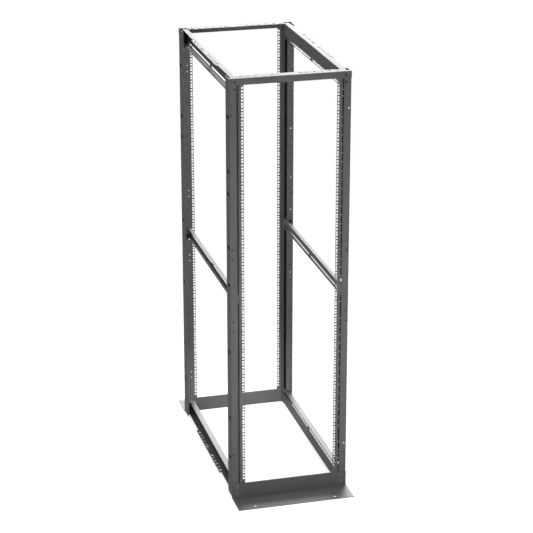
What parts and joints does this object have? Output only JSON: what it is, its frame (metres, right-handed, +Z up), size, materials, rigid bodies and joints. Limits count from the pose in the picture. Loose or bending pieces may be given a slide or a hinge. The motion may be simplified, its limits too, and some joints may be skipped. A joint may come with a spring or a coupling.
{
  "type": "four-post open frame rack",
  "caption": "Free-standing four-post open frame rack in dark painted steel, with perforated square-hole mounting rails, C-channel posts, side channels and floor angles.",
  "frame": {"origin": "centre of the footprint on the floor, under the middle of the rack", "axes": "+X across the rack to the right seen from the front, +Y from front to rear, +Z up"},
  "size_m": [0.588, 1.356, 2.1336],
  "materials": {
    "frame_paint": "satin charcoal powder coat on folded sheet steel"
  },
  "bodies": {
    "root": {"post_front_left": "frame_paint", "post_front_right": "frame_paint", "post_rear_left": "frame_paint", "post_rear_right": "frame_paint", "rail_front_left": "frame_paint", "rail_front_right": "frame_paint", "rail_rear_left": "frame_paint", "rail_rear_right": "frame_paint", "top_bar_front": "frame_paint", "top_bar_rear": "frame_paint", "top_channel_left": "frame_paint", "top_channel_right": "frame_paint", "mid_strut_left": "frame_paint", "mid_strut_right": "frame_paint", "bottom_channel_left": "frame_paint", "bottom_channel_right": "frame_paint", "base_angle_front": "frame_paint", "base_angle_rear": "frame_paint"}
  },
  "joints": []
}
